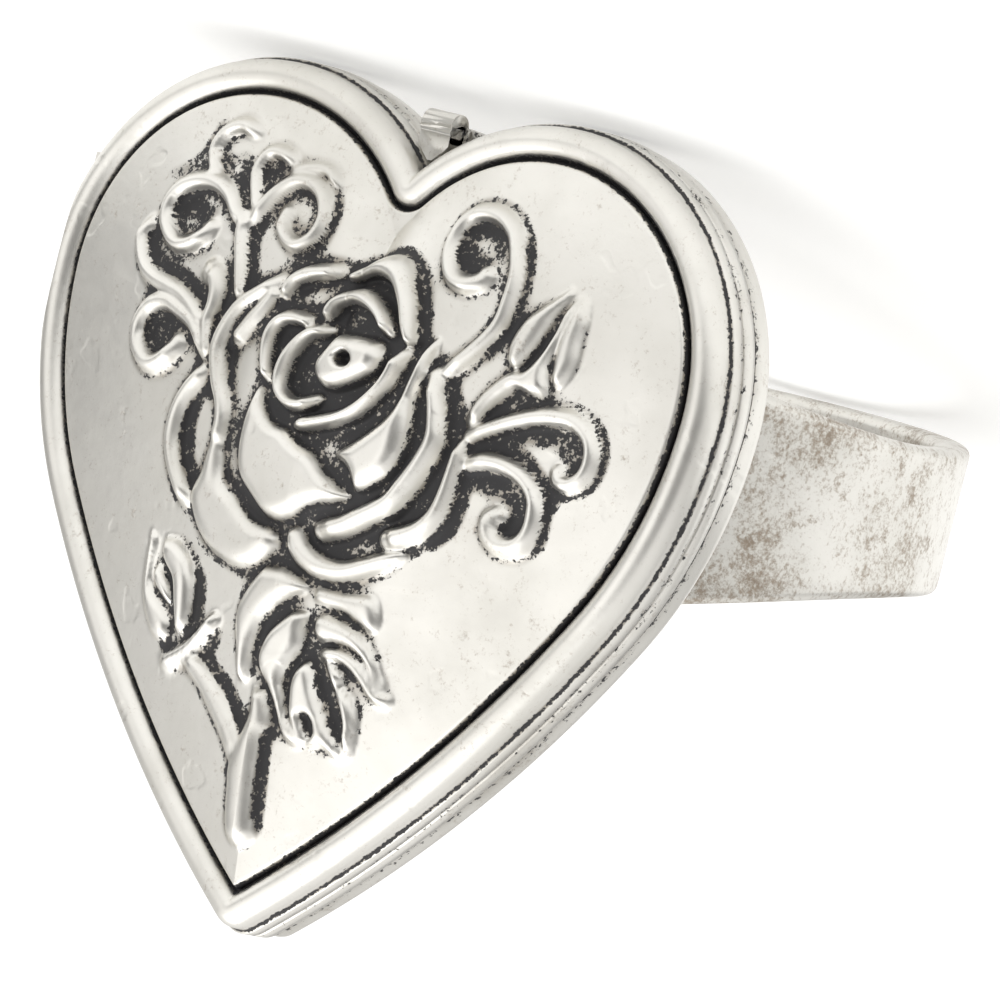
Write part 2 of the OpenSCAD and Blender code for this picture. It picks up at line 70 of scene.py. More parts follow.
class Tint:
    """A socket of a material, so that masks and heights can be written as sums."""

    def __init__(self, tree, socket=None):
        self.tree, self.socket = tree, socket

    def node(self, kind, settings=None, values=None, out=0):
        made = self.tree.nodes.new(kind)
        for name, setting in (settings or {}).items():
            setattr(made, name, setting)
        for name, value in (values or {}).items():
            if isinstance(value, Tint):
                self.tree.links.new(value.socket, made.inputs[name])
            else:
                made.inputs[name].default_value = value
        return Tint(self.tree, made.outputs[out])

    def maths(self, operation, a, b=0.0):
        return self.node("ShaderNodeMath", {"operation": operation}, {0: a, 1: b})

    def __add__(self, other):
        return self.maths("ADD", self, other)

    def __sub__(self, other):
        return self.maths("SUBTRACT", self, other)

    def __rsub__(self, other):
        return self.maths("SUBTRACT", other, self)

    def __mul__(self, other):
        return self.maths("MULTIPLY", self, other)

    __radd__, __rmul__ = __add__, __mul__

    def between(self, low, high):
        """0 below low and 1 above high, smoothly."""
        return self.node("ShaderNodeMapRange", {"interpolation_type": "SMOOTHSTEP"},
                         {"Value": self, "From Min": low, "From Max": high})

    def mixed(self, a, b):
        """Colour a where this is 0 and b where it is 1."""
        return self.node("ShaderNodeMix", {"data_type": "RGBA"}, {0: self, 6: a, 7: b}, out=2)

    def noise(self, scale, detail=3.0, roughness=0.5, stretch=(1, 1, 1)):
        """Cloudy noise from 0 to 1, over the piece's own place in metres."""
        place = self.node("ShaderNodeTexCoord", out=3)
        place = self.node("ShaderNodeMapping", None, {"Vector": place, "Scale": stretch})
        return self.node("ShaderNodeTexNoise", None, {"Vector": place, "Scale": scale, "Detail": detail,
                                                      "Roughness": roughness})


SILVER, SHADED = (0.80, 0.785, 0.745, 1), (0.66, 0.645, 0.60, 1)
CHARCOAL, BROWN, BROWN_HAZE_AND_SHADE = (0.035, 0.034, 0.036, 1), (0.30, 0.235, 0.175, 1), (0.22, 0.19, 0.15, 1)


def antique_silver(name, brown, oxidised=True):
    """Silver plate with fine scratches, pits and cloudy wear; `brown` is its share of brown speckle.

    Where it is oxidised, an attribute of the piece says how thickly, and the oxide's edge is ragged. On some
    pieces that attribute also carries painted shade. A soft brown haze round the oxide is partly brown tarnish and
    partly painted shade at the feet of the relief and beside dark lines.
    """
    material = bpy.data.materials.new(name)
    material.use_nodes = True
    tree = material.node_tree
    shader = tree.nodes["Principled BSDF"]
    t = Tint(tree)
    cloud = t.noise(220, 4, 0.6).between(0.35, 0.7)
    grain = t.noise(2600, 3, 0.65)
    fleck = t.noise(1500, 4, 0.75)
    pepper = t.noise(7000, 4, 0.8)
    scratch = t.noise(900, 2, 0.5, (1, 0.04, 1)).between(0.62, 0.7)
    scratch = scratch + t.noise(700, 2, 0.5, (0.03, 1, 0.4)).between(0.64, 0.7)
    speckle = (fleck + cloud * 0.1 * brown).between(0.66 - 0.05 * brown, 0.8)
    peppered = (pepper * 0.7 + fleck * 0.45 + cloud * 0.12 * brown).between(0.66 - 0.08 * brown, 0.78)
    colour = (cloud * 0.6).mixed(SILVER, SHADED)
    colour = (speckle * (0.2 + 0.2 * brown)).mixed(colour, BROWN)
    colour = (peppered * (0.25 + 0.55 * brown)).mixed(colour, BROWN)
    rough = 0.27 + cloud * 0.1 + grain * 0.1 + speckle * 0.2
    metal = 1 - speckle * 0.25
    if oxidised:
        # The attribute holds real oxide, and also painted shade at the cleft loop's foot and beside some strokes
        # of the relief
        dirt_and_shade = t.node("ShaderNodeAttribute", {"attribute_name": "tarnish"}, out=2)
        grit = t.noise(6500, 3, 0.7)
        # Soft brown haze round the oxide: partly brown tarnish, partly painted shade at the feet of the relief and
        # beside dark lines
        brown_haze_and_shade = (dirt_and_shade + (cloud - 0.5) * 0.2).between(0.02, 0.75)
        colour = (brown_haze_and_shade * 0.75).mixed(colour, BROWN_HAZE_AND_SHADE)
        ragged = (grit - 0.5) * 3.0 + (fleck - 0.5) * 1.8
        dirt_and_shade = (dirt_and_shade + ragged * (dirt_and_shade * 2.5 + 0.12).between(0, 1)).between(0.4, 0.62)
        colour = dirt_and_shade.mixed(colour, CHARCOAL)
        rough = rough + dirt_and_shade * 0.25
        metal = metal * (1 - dirt_and_shade * 0.75)
    dents = t.noise(420, 2, 0.5)
    height = grain * 0.25 + dents * 0.9 + scratch * -0.35 + speckle * -0.3
    bump = t.node("ShaderNodeBump", None, {"Strength": 0.35, "Distance": 0.00006, "Height": height})
    surface = {"Base Color": colour, "Roughness": rough, "Metallic": metal, "Normal": bump}
    for name, value in surface.items():
        tree.links.new(value.socket, shader.inputs[name])
    return material


def hand_over(bm, name, material, body, node, tarnish=None):
    """Lays a finished shape down with the ring, and gives it to its body in place of the CAD node.

    The last argument says how thickly each point is oxidised, and on some pieces how much shade is painted on it:
    numbers, or a function of the point's place.
    """
    bmesh.ops.recalc_face_normals(bm, faces=bm.faces[:])
    oxide_and_shade = [tarnish(v.co) for v in bm.verts] if callable(tarnish) else tarnish
    bmesh.ops.transform(bm, matrix=lie, verts=bm.verts[:])
    mesh = bpy.data.meshes.new(name)
    bm.to_mesh(mesh)
    bm.free()
    mesh.materials.append(material)
    mesh.shade_smooth()
    if oxide_and_shade is not None:
        mesh.attributes.new("tarnish", "FLOAT", "POINT").data.foreach_set("value", oxide_and_shade)
    made = bpy.data.objects.new(name, mesh)
    bpy.context.scene.collection.objects.link(made)
    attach(made, body)
    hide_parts(node)
    return made


band = bmesh.new()
corners = [band.verts.new((finger_r + band_t * across, band_y + band_w * along, finger_z))
           for across, along in ((0, -0.5), (1, -0.5), (1, 0.5), (0, 0.5))]
band.faces.new(corners)
bmesh.ops.bevel(band, geom=corners, offset=band_edge, affect="VERTICES", segments=6, profile=0.5, material=-1)
bmesh.ops.delete(band, geom=band.faces[:], context="FACES_ONLY")
long_sides = [e for e in band.edges if e.calc_length() > band_w / 2]
bmesh.ops.subdivide_edges(band, edges=long_sides, cuts=10)
bmesh.ops.spin(band, geom=band.verts[:] + band.edges[:], cent=(0, band_y, finger_z), axis=(0, 1, 0),
               angle=2 * pi, steps=240, use_merge=True)
for v in band.verts:
    z = v.co.z - finger_z
    wider = flare_r - sqrt(flare_r ** 2 - (z + flare_drop) ** 2) if z > -flare_drop else 0
    across = max(-1, min(1, (v.co.y - band_y) / (band_w / 2 - band_edge)))
    v.co.y += across * wider - z * lean
worn_silver = antique_silver("worn_silver_band", 1.0, oxidised=False)
hand_over(band, "band", worn_silver, "ring", "ring_body")

# The tray: the lower half of the locket, stamped from sheet with a dark step round its side, a rounded back
# edge and a closing lip soldered inside its mouth.
#
# Tray and lid are turned round like bowls, then pressed to the heart's outline: the radius HEART_R becomes
# the rim line, and what lies inside the groove shrinks evenly towards the crown.
AROUND = 512
HEART_R = 12.0
# Each half of the rim line is a chain of arcs, from the tip over the side and the shoulder to the lobe. The
# turns are where one arc passes into the next, in degrees below level. Tip and cleft are never drawn with a
# smaller radius than `sharp`, and the cleft is rounder from `cleft_start` inside the rim line.
lobe_r, lobe_x, shoulder_r, side_r, tip_r = 7.18, 5.18, 12.9, 42.2, 0.9
lobe_turn, shoulder_turn = 2.0, 33.0
sharp, cleft_start = 0.08, 0.3
sheet, groove_w = 0.6, 1.265
crown = np.array((0, -2.7))


def heading(angle):
    return np.array((cos(radians(angle)), sin(radians(angle))))


lobe_c = np.array((lobe_x, 0))
shoulder_c = lobe_c - (shoulder_r - lobe_r) * heading(-lobe_turn)
side_c = shoulder_c - (side_r - shoulder_r) * heading(-shoulder_turn)


def heart(off):
    """The heart's outline, `off` outside the rim line: AROUND points from its tip, anticlockwise.

    Each arc has its centre, radius, first and last angle, and number of points.
    """
    tip = max(tip_r + off, sharp)
    tip_y = side_c[1] - sqrt((side_r + off - tip) ** 2 - side_c[0] ** 2)
    tip_turn = degrees(atan2(tip_y - side_c[1], -side_c[0]))
    cleft = max(-cleft_start - off, sharp)
    cleft_y = sqrt((lobe_r + off + cleft) ** 2 - lobe_x ** 2)
    cleft_turn = degrees(atan2(cleft_y, -lobe_x))
    arcs = [((0, tip_y), tip, -90, tip_turn, 12),
            (side_c, side_r + off, tip_turn, -shoulder_turn, 80),
            (shoulder_c, shoulder_r + off, -shoulder_turn, -lobe_turn, 40),
            (lobe_c, lobe_r + off, -lobe_turn, cleft_turn, 104),
            ((0, cleft_y), cleft, cleft_turn - 180, -90, 20)]
    half = [np.array(c) + r * heading(a + (b - a) * i / n) for c, r, a, b, n in arcs for i in range(n)]
    half.append(np.array((0, cleft_y - cleft)))
    return np.vstack([half, [p * (-1, 1) for p in half[-2:0:-1]]])


groove_line = heart(-groove_w)


def to_groove(angle):
    """Distance from the crown to the groove's inner edge, for angles on the right half."""
    out = np.stack([np.cos(angle), np.sin(angle)], -1)
    reach = []
    for c, r in ((side_c, side_r), (shoulder_c, shoulder_r), (lobe_c, lobe_r)):
        along = out @ (c - crown)
        aside = (c - crown) @ (c - crown) - along ** 2
        reach.append(along + np.sqrt(np.maximum(0, (r - groove_w) ** 2 - aside)))
    turns = []
    for c, r, a in ((side_c, side_r, -shoulder_turn), (shoulder_c, shoulder_r, -lobe_turn)):
        p = c + (r - groove_w) * heading(a) - crown
        turns.append(atan2(p[1], p[0]))
    return np.select([angle < turns[0], angle < turns[1]], reach[:2], reach[2])


def swell(x, y):
    """How far the dome has risen at a point: 0 at the groove and 1 at the crown."""
    x, y = np.abs(x), y - crown[1]
    return 1 - np.minimum(1, np.hypot(x, y) / to_groove(np.arctan2(y, x))) ** 2


def turned_bowl(profile, rise):
    """Turns a profile of (radius, height) round, presses it to the heart, and domes it by `rise`."""
    bm = bmesh.new()
    line = [bm.verts.new((r, 0, z)) for r, z in profile]
    for a, b in zip(line, line[1:]):
        bm.edges.new((a, b))
    bmesh.ops.spin(bm, geom=bm.verts[:] + bm.edges[:], cent=(0, 0, 0), axis=(0, 0, 1), angle=2 * pi,
                   steps=AROUND, use_merge=True)
    co = np.array([v.co for v in bm.verts])
    radius = np.round(np.hypot(co[:, 0], co[:, 1]), 4)
    place = np.rint(np.arctan2(co[:, 1], co[:, 0]) / (2 * pi) * AROUND).astype(int) % AROUND
    for r in np.unique(radius):
        here = radius == r
        off = r - HEART_R
        if off >= -groove_w:
            co[here, :2] = heart(off)[place[here]]
        else:
            share = r / (HEART_R - groove_w)
            co[here, :2] = crown + share * (groove_line[place[here]] - crown)
    inside = radius < HEART_R - groove_w
    co[inside, 2] += rise * swell(co[inside, 0], co[inside, 1])
    for v, p in zip(bm.verts, co):
        v.co = p
    bmesh.ops.remove_doubles(bm, verts=bm.verts[:], dist=0.002)
    return bm


def arc(r, z, across, up, start, end, steps):
    """Points of an elliptical arc about a place `r` outside the rim line, between two angles."""
    angles = [radians(start + (end - start) * i / steps) for i in range(steps + 1)]
    return [(HEART_R + r + across * cos(a), z + up * sin(a)) for a in angles]


def cut(bm, solids, how):
    """Cuts boxes and rods out of a shape, or joins them to it."""
    mesh = bpy.data.meshes.new("shape")
    bm.to_mesh(mesh)
    bm.free()
    shape = bpy.data.objects.new("shape", mesh)
    bpy.context.scene.collection.objects.link(shape)
    tools = []
    for solid in solids:
        tool_mesh = bpy.data.meshes.new("tool")
        solid.to_mesh(tool_mesh)
        solid.free()
        tool = bpy.data.objects.new("tool", tool_mesh)
        bpy.context.scene.collection.objects.link(tool)
        boolean = shape.modifiers.new("cut", "BOOLEAN")
        boolean.operation, boolean.solver, boolean.object = how, "EXACT", tool
        tools.append(tool)
    done = bmesh.new()
    done.from_mesh(shape.evaluated_get(bpy.context.evaluated_depsgraph_get()).to_mesh())
    for extra in [shape] + tools:
        bpy.data.objects.remove(extra)
    return done


def box(low, high):
    """A plain block between two corners."""
    bm = bmesh.new()
    bmesh.ops.create_cube(bm, size=1)
    low, high = Vector(low), Vector(high)
    bmesh.ops.scale(bm, vec=high - low, verts=bm.verts[:])
    bmesh.ops.translate(bm, vec=(low + high) / 2, verts=bm.verts[:])
    return bm


def rod(radius, length, y, bore=0.0):
    """A rod along the hinge's line, `y` from its middle, or a knuckle with a bore and eased ends."""
    bm = bmesh.new()
    bevel = 0.05 if bore else 0.0
    a, b = y - length / 2, y + length / 2
    section = [(bore, a), (radius - bevel, a), (radius, a + bevel),
               (radius, b - bevel), (radius - bevel, b), (bore, b)]
    line = [bm.verts.new((r, at, 0)) for r, at in section]
    for p, q in zip(line, line[1:] + line[:1] if bore else line[1:]):
        bm.edges.new((p, q))
    bmesh.ops.spin(bm, geom=bm.verts[:] + bm.edges[:], cent=(0, 0, 0), axis=(0, 1, 0), angle=2 * pi, steps=48,
                   use_merge=True)
    bmesh.ops.remove_doubles(bm, verts=bm.verts[:], dist=0.0005)
    bmesh.ops.recalc_face_normals(bm, faces=bm.faces[:])
    bmesh.ops.translate(bm, vec=(HINGE_X, HINGE_Y, 0), verts=bm.verts[:])
    return bm


# The seam's half width, the edge that is broken there, the plain strip under it and the step under that
seam, eased, strip_h, step_d, back_r = 0.03, 0.06, 0.5, 0.1, 0.45
step_foot, step_low, step_high, step_top = (-strip_h - down for down in (0.18, 0.14, 0.1, 0.05))
plate, lip_h, lip_t, lip_gap = 0.5, 0.38, 0.4, 0.05
lip_out = -sheet - lip_gap
flat_back = [(share * (HEART_R - groove_w), -tray_depth) for share in (0, 0.5, 0.9)]
tray_side = arc(-step_d - back_r, -tray_depth + back_r, back_r, back_r, -90, 0, 6) + [
    (HEART_R - step_d, step_foot), (HEART_R - 2 * step_d, step_low), (HEART_R - 2 * step_d, step_high),
    (HEART_R - step_d / 2, step_top), (HEART_R, -strip_h), (HEART_R, -seam - eased), (HEART_R - eased, -seam)]
tray_lip = [(HEART_R + lip_out, -seam)] + arc(lip_out - lip_t / 2, lip_h * 0.6, lip_t / 2, lip_h * 0.4,
                                              0, 180, 6)
tray_floor = [(HEART_R + lip_out - lip_t, plate - tray_depth)] + [
    (share * (HEART_R - groove_w), plate - tray_depth) for share in (0.9, 0.5, 0)]
tray = turned_bowl(flat_back + tray_side + tray_lip + tray_floor, 0)

hinge_len, lid_knuckle, knuckle_gap = 5.6, 3.4, 0.1
barrel_r, pin_r, pin_gap, barrel_gap = 0.5, 0.28, 0.03, 0.12
tray_knuckle = (hinge_len - lid_knuckle) / 2 - knuckle_gap
tray_knuckle_y = (hinge_len - tray_knuckle) / 2
# At the hinge the heart's side is cut flat and backed with solid metal
hinge_face = HINGE_X + 0.05
backing_w, backing_len = 0.85, hinge_len + 0.9


def beyond_hinge():
    """A block over all that would stand outside the hinge's flat."""
    return box((hinge_face - 3, HINGE_Y - 5, -3), (hinge_face, HINGE_Y + 5, 3))


def pin_bore():
    return rod(pin_r + pin_gap, hinge_len + 2 * knuckle_gap, 0)


def knuckle_seat(length, y):
    """The room that a knuckle of the other half turns in."""
    return rod(barrel_r + barrel_gap, length + 2 * knuckle_gap, y)


lip_end = backing_len / 2 + 0.4
lip_cut = box((hinge_face - 2, HINGE_Y - lip_end, -seam),
              (hinge_face + backing_w + 0.2, HINGE_Y + lip_end, lip_h + 1))
backing = box((hinge_face, HINGE_Y - backing_len / 2, plate - tray_depth - 0.01),
              (hinge_face + backing_w, HINGE_Y + backing_len / 2, -seam - 0.001))
tray = cut(tray, [lip_cut], "DIFFERENCE")
tray = cut(tray, [backing], "UNION")
tray = cut(tray, [beyond_hinge(), knuckle_seat(lid_knuckle, 0), pin_bore()], "DIFFERENCE")


def on_tray(p):
    """The oxide of the tray: thick in the step, thin beside it and along the seam."""
    if step_low - 0.01 < p.z < step_high + 0.01:
        return 1.3
    if step_foot - 0.02 < p.z < -strip_h:
        return 0.35
    return 0.22 if -seam - eased - 0.01 < p.z < -seam + 0.01 else 0


silver_body = antique_silver("antiqued_silver_body", 0.35)
tray = hand_over(tray, "tray", silver_body, "ring", "ring_body", on_tray)
tray.data.set_sharp_from_angle(angle=radians(50))

# The hinge's outer knuckles: two short rolls of the tray's sheet at the heart's left side, level with the
# seam, which hold the pin's ends.


def knuckle(name, length, y, web_low, web_high, body, node):
    """One roll of the hinge, with the web of sheet that it is rolled from."""
    roll = rod(barrel_r, length, y, pin_r + pin_gap)
    web = box((HINGE_X + 0.7 * barrel_r, HINGE_Y + y - length / 2, web_low),
              (HINGE_X + backing_w / 2, HINGE_Y + y + length / 2, web_high))
    made = hand_over(cut(roll, [web], "UNION"), name, silver_body, body, node)
    made.data.set_sharp_from_angle(angle=radians(40))


web_reach = barrel_r - 0.02
for end, where in ((-1, "lower"), (1, "upper")):
    knuckle(f"tray_knuckle_{where}", tray_knuckle, end * tray_knuckle_y, -web_reach, -seam,
            "ring", "ring_body")

# The loop in the cleft: a tongue of the tray's sheet that stands up between the lobes and is rolled over at
# its end, so that a thumbnail can open the lid there. Solder fills the corner at the right lobe.
loop_w, loop_r, loop_z, loop_y, tongue_d = 1.1, 0.42, 0.3, 6.28, 1.0
loop_root, loop_edge = 4.55, 0.07
half_w = loop_w / 2


def slab(outline, low, high):
    """A flat outline raised from one height to another."""
    bm = bmesh.new()
    sole = bm.faces.new([bm.verts.new((x, y, low)) for x, y in outline])
    grown = bmesh.ops.extrude_face_region(bm, geom=[sole])
    bmesh.ops.translate(bm, vec=(0, 0, high - low),
                        verts=[g for g in grown["geom"] if isinstance(g, bmesh.types.BMVert)])
    bmesh.ops.recalc_face_normals(bm, faces=bm.faces[:])
    return bm


loop = box((-half_w, loop_root, -tongue_d), (half_w, loop_y, -2 * seam))
neck = slab([(-0.08, 5.22), (0.08, 5.22), (0.8 * half_w, 5.56), (half_w, 5.7), (half_w, loop_y),
             (-half_w, loop_y), (-half_w, 5.7), (-0.8 * half_w, 5.56)], -tongue_d, loop_z + 0.8 * loop_r)
roll = bmesh.new()
bmesh.ops.create_cone(roll, cap_ends=True, segments=48, radius1=loop_r, radius2=loop_r, depth=loop_w)
bmesh.ops.rotate(roll, cent=(0, 0, 0), matrix=Matrix.Rotation(pi / 2, 3, "Y"), verts=roll.verts[:])
bmesh.ops.translate(roll, vec=(0, loop_y, loop_z), verts=roll.verts[:])
solder = slab([(0, loop_root), (loop_w, loop_root + 0.6), (2 * loop_w, loop_y - 0.5),
               (1.9 * loop_w, loop_y + 0.2), (loop_w, loop_y), (0, loop_y + 0.1)], -tongue_d, -0.3 * tongue_d)
loop = cut(loop, [neck, roll, solder], "UNION")
crisp = [e for e in loop.edges if e.is_manifold and e.calc_face_angle(0) > radians(40)]
bmesh.ops.bevel(loop, geom=crisp, offset=loop_edge, affect="EDGES", segments=3, profile=0.5, material=-1,
                clamp_overlap=True)
# The loop's lower part is tinted a thin brown: painted shade at its foot, near the lid's edge
hand_over(loop, "cleft_loop", silver_body, "ring", "ring_body",
          tarnish=lambda p: 0.3 if p.z < loop_z - 0.1 else 0)

# The lid: the upper half of the locket, one stamped sheet. This piece is its frame: skirt, shoulder, rounded
# rim and the groove's outer wall, with the sheet's inner side.
rim_h, rim_w, dome_h, skirt_h, face_t = 1.4, 1.1, 1.35, 0.5, 0.34
dome_foot, dome_rise = rim_h - 0.12, dome_h - 0.1
# The rim is a bead, and a fine notch parts it from the skirt
bead_in, bead_z, bead_w = 0.62, 0.78, 0.5
notch_in, notch_z = 0.09, skirt_h + 0.05
groove_floor = 0.96
under = [(share * (HEART_R - groove_w), dome_foot - sheet)
         for share in (0, 0.1, 0.25, 0.4, 0.55, 0.7, 0.85, 0.97)]
inner_wall = [(HEART_R - rim_w, rim_h - sheet - 0.15), (HEART_R - sheet - 0.1, skirt_h + 0.12),
              (HEART_R - sheet, skirt_h), (HEART_R - sheet, seam)]
skirt = [(HEART_R - 0.05, seam), (HEART_R, seam + 0.05), (HEART_R, skirt_h - 0.04), (HEART_R - 0.03, skirt_h),
         (HEART_R - notch_in, notch_z), (HEART_R - bead_in + bead_w, skirt_h + 0.12)]
bead = arc(-bead_in, bead_z, bead_w, rim_h - bead_z, 0, 150, 14)
groove = [(HEART_R - 1.09, groove_floor + 0.04), (HEART_R - 1.14, groove_floor),
          (HEART_R - groove_w + 0.02, groove_floor)]
core = [(share * (HEART_R - groove_w), dome_foot - face_t + 0.02)
        for share in (0.985, 0.9, 0.75, 0.6, 0.45, 0.3, 0.15, 0)]
frame_backing = box((hinge_face, HINGE_Y - backing_len / 2, seam + 0.001),
                    (hinge_face + backing_w, HINGE_Y + backing_len / 2, rim_h - sheet))
shell = turned_bowl(under + inner_wall + skirt + bead + groove + core, dome_rise)
shell = cut(shell, [frame_backing], "UNION")
shell = cut(shell, [beyond_hinge(), knuckle_seat(tray_knuckle, -tray_knuckle_y),
                    knuckle_seat(tray_knuckle, tray_knuckle_y), pin_bore()], "DIFFERENCE")
groove_wall, side_wall = heart(-1.12), heart(-0.06)
groove_top, fade, stain = 1.22, 0.18, 0.12


def close_to(line, p):
    """Whether a point is within a stain's width of a line."""
    return np.hypot(*(line - p.xy).T).min() < stain


def on_frame(p):
    """The oxide of the frame: thick in the groove and in the notch, thin along the skirt's edges."""
    if p.z > bead_z - 0.08:
        in_groove = p.z < groove_top + 0.03 and close_to(groove_wall, p)
        return min(1, (groove_top - p.z) / fade) if in_groove else 0
    if not close_to(side_wall, p):
        return 0
    if abs(p.z - notch_z) < 0.02:
        return 1.15
    return 0.28 if p.z < 0.1 or p.z > skirt_h - 0.03 else 0


silver_lid = antique_silver("antiqued_silver_lid", 0.25)
shell = hand_over(shell, "lid_frame", silver_lid, "locket_lid", "lid", on_frame)
shell.data.set_sharp_from_angle(angle=radians(50))

# The lid's face: the same sheet's dome, with the rose spray struck into it. Its recesses are oxidised
# charcoal and its high points are polished bright.
#
# The relief is a grid of heights over the dome, CELL apart. A ridge is laid SPREAD wider at each side than it
# is marked, because the grid is softened afterwards.
CELL, SPREAD = 0.05, 0.03
x_line, y_line = np.arange(-10.6, 11.4, CELL), np.arange(-16.6, 6.4, CELL)
relief = np.zeros((len(y_line), len(x_line)))


def window(points, reach):
    """The part of the relief's grid around some points: its slices and the place of each cell."""
    low, high = points.min(0) - reach, points.max(0) + reach
    xs = slice(*np.searchsorted(x_line, (low[0], high[0])))
    ys = slice(*np.searchsorted(y_line, (low[1], high[1])))
    return (ys, xs), np.stack(np.meshgrid(x_line[xs], y_line[ys]), -1)


def flowing(points, step=0.05):
    """A smooth curve through points."""
    p = np.array(points, float)
    p = np.vstack([2 * p[0] - p[1], p, 2 * p[-1] - p[-2]])
    way = []
    for a, b, c, d in zip(p, p[1:], p[2:], p[3:]):
        n = max(2, int(np.hypot(*(c - b)) / step))
        t = np.arange(n)[:, None] / n
        bend, twist = 2 * a - 5 * b + 4 * c - d, 3 * b - a - 3 * c + d
        way.append(0.5 * (2 * b + (c - a) * t + bend * t ** 2 + twist * t ** 3))
    return np.vstack(way + [p[-2:-1]])


def leaning(height):
    """The lines are marked as the camera sees them, and there what stands high lies further to the left."""
    return np.array((0.55 * height - 0.1, 0))


def vine(height, widths, points, power=0.9, onto=relief):
    """A rounded ridge along a line, of these widths at its start, middle and end.

    A low power makes it full, and it is laid on the relief or on another grid.
    """
    way = flowing(points) + leaning(height if onto is relief else 0)
    share = np.linspace(0, 1, len(way))
    half = np.interp(share, (0, 0.5, 1), widths) / 2 + SPREAD
    place, cells = window(way, half.max())
    away = np.hypot(cells[..., None, 0] - way[:, 0], cells[..., None, 1] - way[:, 1]) / half
    nearest = away.argmin(-1)
    away = np.minimum(1, away.min(-1))
    end = np.minimum(1, 0.6 + 6 * np.minimum(share, 1 - share))[nearest]
    onto[place] = np.maximum(onto[place], height * end * (1 - away ** 2) ** power)


def petal(height, edge, points, pit=0):
    """A full body inside a closed outline, rounded over its edge, or a pit from `pit` down to this height."""
    way = flowing(points + points[:1]) + leaning(pit or height)
    place, cells = window(way, 0)
    away = np.full(cells.shape[:2], np.inf)
    crossings = np.zeros(cells.shape[:2], int)
    for a, b in zip(way, way[1:]):
        away = np.minimum(away, np.hypot(cells[..., 0] - a[0], cells[..., 1] - a[1]))
        if a[1] != b[1]:
            at = a[0] + (cells[..., 1] - a[1]) / (b[1] - a[1]) * (b[0] - a[0])
            crossings += ((cells[..., 1] > a[1]) != (cells[..., 1] > b[1])) & (cells[..., 0] < at)
    body = np.where(crossings % 2, 1 - (1 - np.minimum(1, away / edge)) ** 2, 0) ** 0.6
    here = relief[place]
    relief[place] = here - np.maximum(0, here - height) * body if pit else np.maximum(here, height * body)


# The rose's ground, and its outer petals: height, width of the rounded edge, and the outline
petal(0.28, 1.2, [(-3.4, 0.4), (-1.5, 1.2), (0.8, 1.5), (2.4, 0.3), (3.4, -1.2), (3.7, -3.0), (2.8, -4.8),
                  (0.8, -5.8), (-1.6, -5.9), (-3.2, -4.6), (-3.9, -2.4)])
petal(0.50, 0.55, [(-3.9, -3.6), (-4.0, -4.3), (-4.1, -5.0), (-4.3, -5.6), (-4.1, -6.2), (-3.6, -6.8),
                   (-2.9, -7.2), (-2.0, -7.4), (-1.2, -7.2), (-0.7, -6.7), (-0.6, -6.3), (-0.9, -6.0),
                   (-1.6, -5.9), (-2.4, -5.4), (-3.0, -5.0), (-3.2, -4.3), (-3.3, -3.7)])
petal(0.50, 0.5, [(-0.35, -5.9), (0.1, -5.75), (0.5, -6.1), (1.0, -6.35), (1.7, -6.4), (2.5, -6.1),
                  (3.2, -5.8), (3.75, -5.8), (3.3, -6.3), (2.6, -6.7), (1.9, -7.0), (1.0, -7.1),
                  (0.3, -6.9), (-0.2, -6.5)])
vine(0.46, (0.55, 0.74, 0.62), [(-4.7, -2.1), (-5.2, -2.8), (-5.45, -3.5), (-5.45, -4.3), (-5.15, -5.0),
                                (-4.7, -5.6), (-4.4, -5.85)])
vine(0.62, (0.6, 0.82, 0.72), [(-2.85, 0.85), (-3.4, 0.4), (-3.95, -0.1), (-4.3, -0.8), (-4.4, -1.5),
                               (-4.1, -2.3), (-3.75, -2.9), (-3.6, -3.5), (-3.7, -4.2)])
vine(0.56, (0.5, 0.8, 0.6), [(-2.75, 0.6), (-3.1, 0.0), (-3.5, -0.6), (-3.8, -1.1)])
vine(0.52, (0.42, 0.62, 0.74), [(4.85, -2.4), (4.78, -3.2), (4.68, -3.9), (4.5, -4.5), (4.1, -5.0),
                                (3.6, -5.3), (3.1, -5.5)])
vine(0.68, (0.66, 0.8, 0.74), [(3.4, -0.7), (3.75, -1.6), (3.9, -2.4), (3.7, -3.1), (3.3, -3.9),
                               (2.9, -4.5), (2.2, -5.0), (1.5, -5.45), (0.8, -5.7)])

# Its inner petals, up to the rolled bud in the middle
petal(0.76, 0.5, [(-2.6, -2.1), (-2.8, -2.9), (-2.85, -3.7), (-2.75, -4.4), (-2.5, -4.9), (-2.0, -5.3),
                  (-1.3, -5.75), (-0.7, -5.8), (-0.2, -5.6), (0.1, -5.35), (0.6, -5.1), (1.2, -4.9),
                  (1.6, -4.6), (1.2, -4.35), (0.6, -4.0), (0.1, -3.6), (-0.5, -3.4), (-1.1, -3.1),
                  (-1.6, -3.0), (-2.0, -2.7), (-2.3, -2.2)])
petal(0.80, 0.6, [(2.95, 0.45), (2.7, -0.1), (2.5, -0.9), (2.35, -1.6), (2.0, -2.2), (1.3, -2.9),
                  (0.6, -3.5), (0.75, -3.65), (1.2, -3.9), (1.5, -4.3), (1.75, -4.5), (2.2, -4.3),
                  (2.8, -3.8), (3.05, -3.2), (3.1, -2.6), (3.05, -2.0), (2.95, -1.4), (3.05, -0.6)])
petal(0.74, 0.4, [(-0.85, 1.5), (-0.3, 2.0), (0.5, 2.4), (1.3, 2.3), (1.9, 1.6), (2.25, 0.8), (2.45, 0.1),
                  (2.15, -0.1), (1.8, 0.3), (1.4, 1.0), (0.9, 1.5), (0.2, 1.6), (-0.6, 1.3)])
